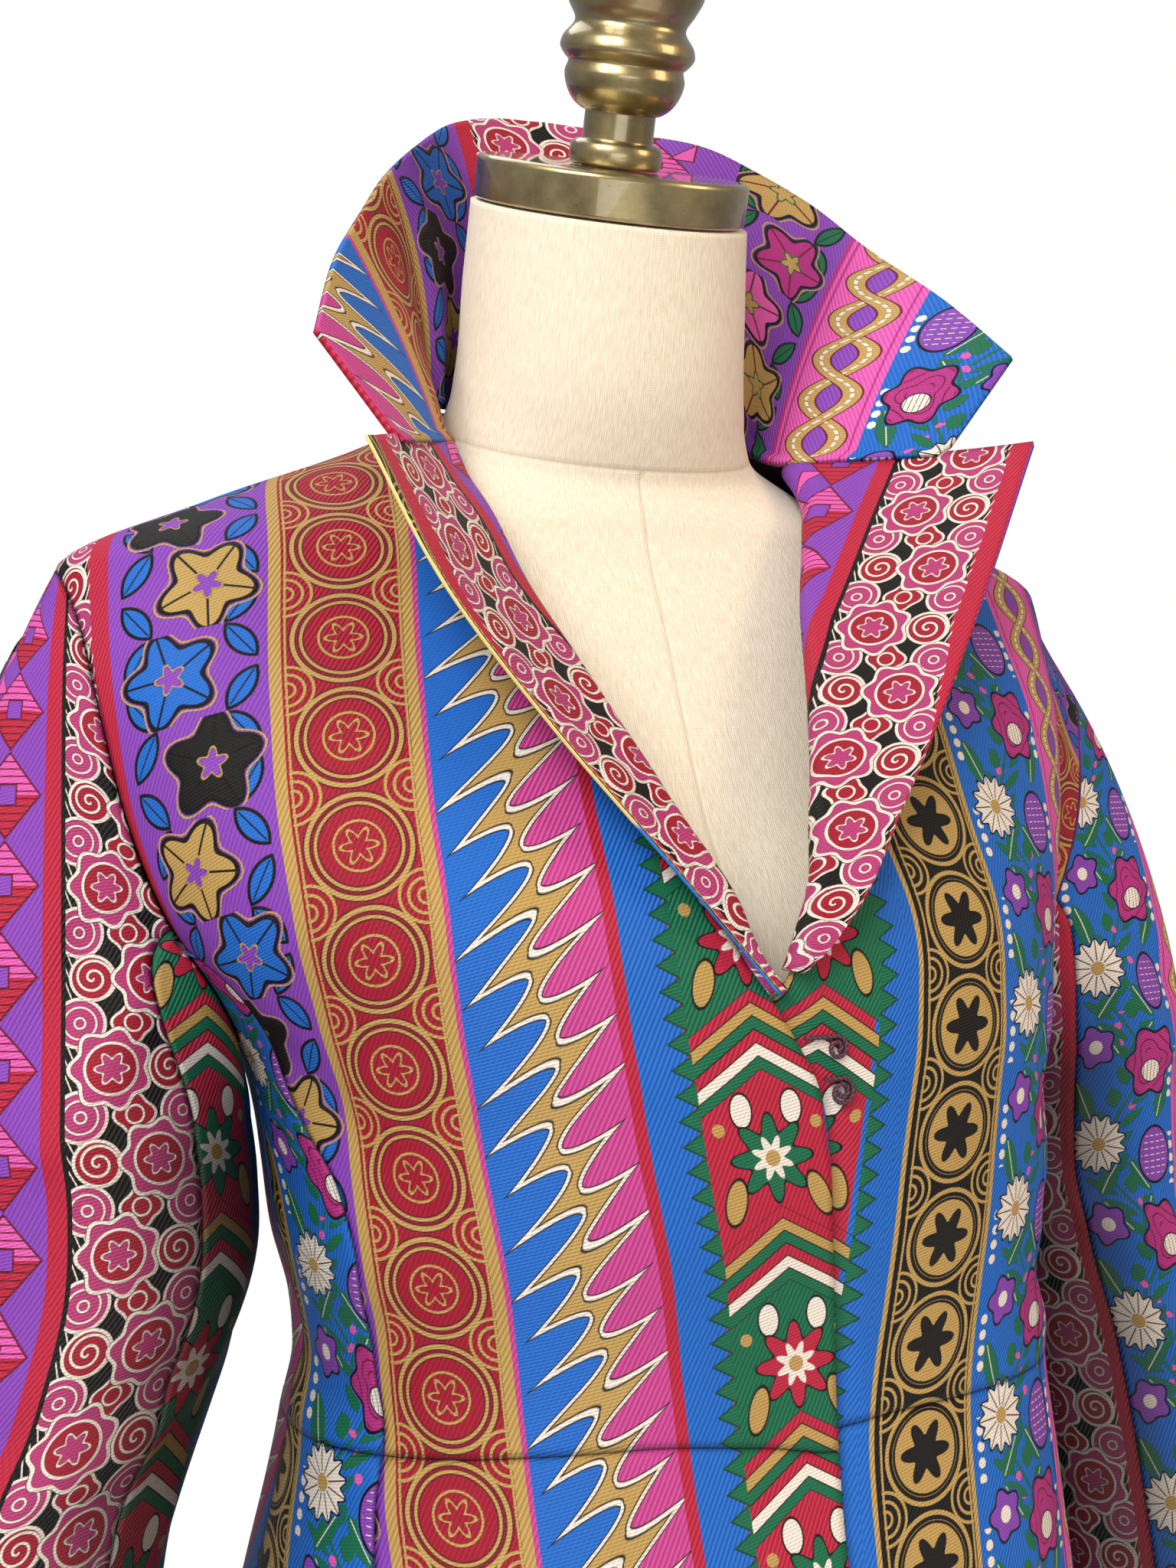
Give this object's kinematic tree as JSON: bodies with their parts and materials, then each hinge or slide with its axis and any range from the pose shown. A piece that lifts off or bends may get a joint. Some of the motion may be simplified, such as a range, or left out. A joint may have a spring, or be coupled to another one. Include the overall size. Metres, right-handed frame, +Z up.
{
  "type": "blazer and dress form",
  "caption": "Brocade blazer with a tall pointed collar, standing-off lapels and coiled-cord closures, worn by a limbless linen dress form with a brass neck cap and finial.",
  "frame": {"origin": "centre of the base board's underside, which is the standing surface", "axes": "+Z up along the form, -Y to the wearer's front, +X to the wearer's left"},
  "size_m": [0.5865, 0.2785, 0.8909],
  "materials": {
    "brocade": "satin",
    "cord": "satin",
    "linen": "matte",
    "antique_brass": "polished",
    "oiled_wood": "satin"
  },
  "bodies": {
    "root": {"front_right": "brocade", "front_left": "brocade", "side_front_right": "brocade", "side_front_left": "brocade", "back_right": "brocade", "back_left": "brocade", "skirt_front_right": "brocade", "skirt_front_left": "brocade", "skirt_side_right": "brocade", "skirt_side_left": "brocade", "skirt_back_right": "brocade", "skirt_back_left": "brocade", "lapel_right": "brocade", "lapel_left": "brocade", "collar": "brocade", "top_sleeve_right": "brocade", "top_sleeve_left": "brocade", "under_sleeve_right": "brocade", "under_sleeve_left": "brocade", "coil_upper": "cord", "coil_lower": "cord", "form_torso": "linen", "neck_cap": "antique_brass", "finial": "antique_brass", "base_board": "oiled_wood"}
  },
  "joints": []
}
